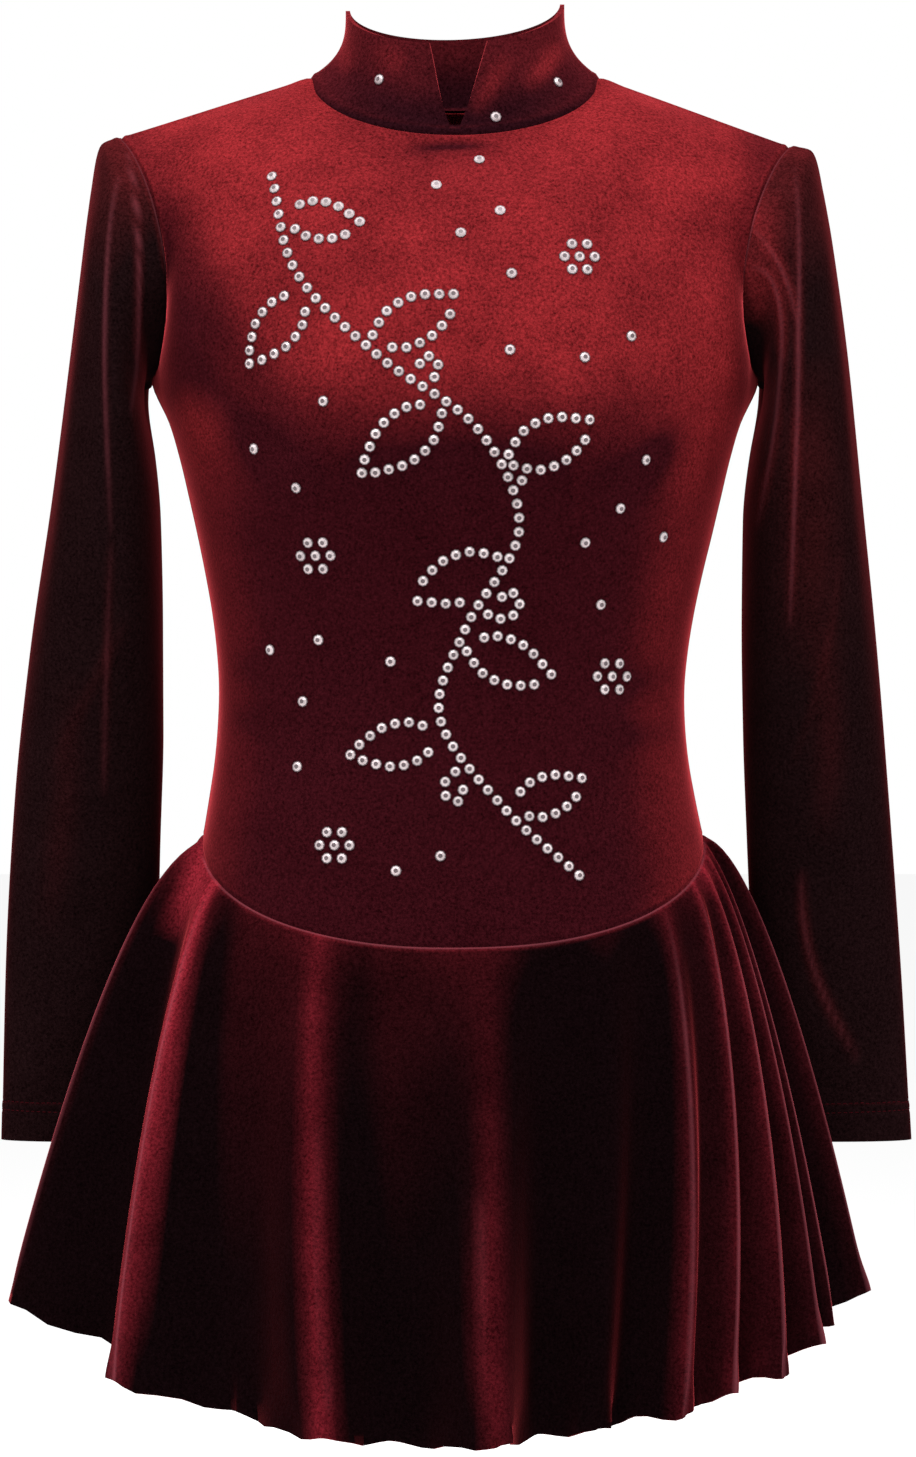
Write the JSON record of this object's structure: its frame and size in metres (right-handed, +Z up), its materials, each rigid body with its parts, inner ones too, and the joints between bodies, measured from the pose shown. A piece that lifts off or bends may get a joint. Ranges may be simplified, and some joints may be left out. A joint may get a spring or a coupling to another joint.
{
  "type": "figure skating dress",
  "caption": "Long-sleeved stretch velvet figure skating dress with a notched stand collar, a dropped curved waist seam, a flared skirt and an attached brief.",
  "frame": {"origin": "between the shoulders, at the height of the side neck points, where the wearer's shoulders hold the dress", "axes": "+Z up the wearer's body, -Y the way the wearer faces, +X to the wearer's left"},
  "size_m": [0.5049, 0.367, 0.7681],
  "materials": {
    "velvet": "deep red stretch velvet, pile side out",
    "collar_velvet": "deep red stretch velvet, doubled",
    "skirt_velvet": "deep red stretch velvet, pile side out",
    "jersey": "deep red matte stretch jersey"
  },
  "bodies": {
    "root": {"bodice_front": "velvet", "bodice_back": "velvet", "sleeve_left": "velvet", "sleeve_right": "velvet", "collar": "collar_velvet", "skirt_front": "skirt_velvet", "skirt_back": "skirt_velvet", "brief_front": "jersey", "brief_back": "jersey"}
  },
  "joints": []
}
